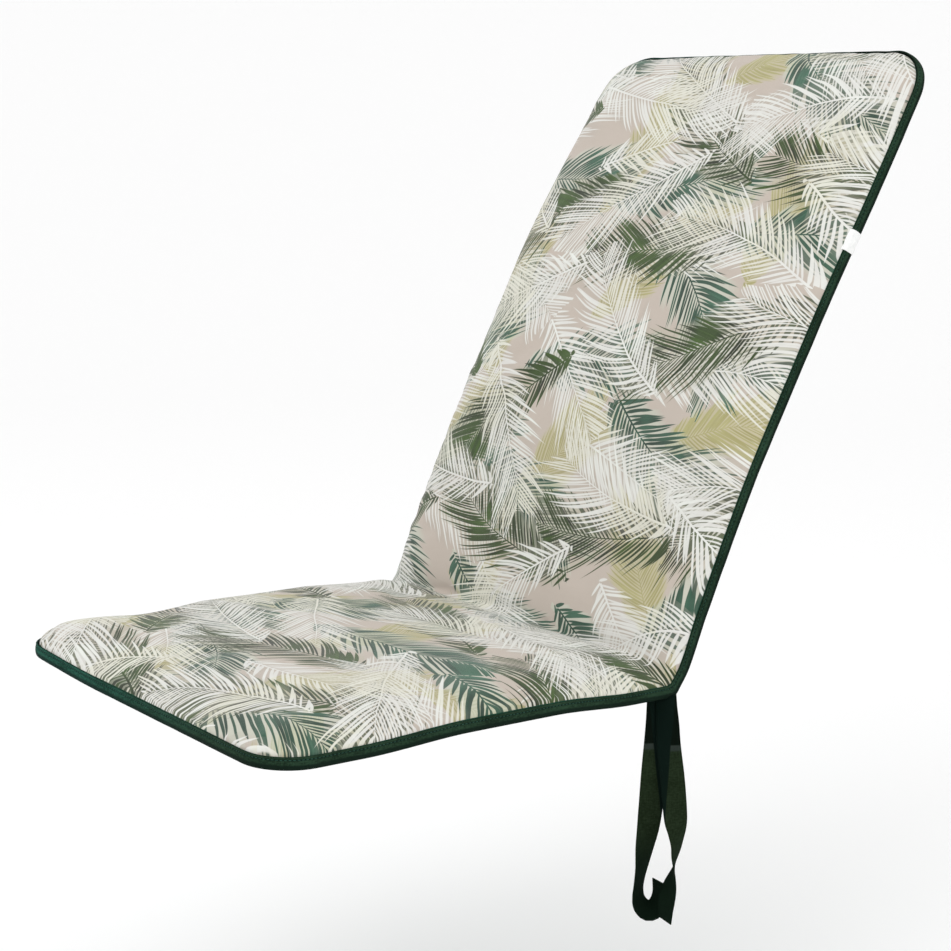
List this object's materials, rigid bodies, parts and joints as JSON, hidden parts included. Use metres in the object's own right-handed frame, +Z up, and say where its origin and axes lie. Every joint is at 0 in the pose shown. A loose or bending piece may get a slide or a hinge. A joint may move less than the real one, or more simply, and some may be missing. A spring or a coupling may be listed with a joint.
{
  "type": "seat and back cushion",
  "caption": "Long thin pad folded into a seat and a leaning back for a high-backed garden chair, bound all round its edge, with ribbon ties at both ends of the fold.",
  "frame": {"origin": "middle of the seat's flat underside", "axes": "+X to the right seen from the front, +Y from the seat's front edge to the fold, +Z up"},
  "size_m": [0.5332, 0.8091, 0.8873],
  "materials": {
    "printed_cloth": "matt printed cotton canvas",
    "binding_cloth": "dark green plain cloth, folded and edge stitched",
    "label_cloth": "plain white woven tape",
    "ribbon_cloth": "dark green woven tape"
  },
  "bodies": {
    "root": {"pad": "printed_cloth", "binding": "binding_cloth", "label": "label_cloth", "tie_near_front": "ribbon_cloth", "tie_near_rear": "ribbon_cloth", "tie_far_front": "ribbon_cloth", "tie_far_rear": "ribbon_cloth"}
  },
  "joints": []
}
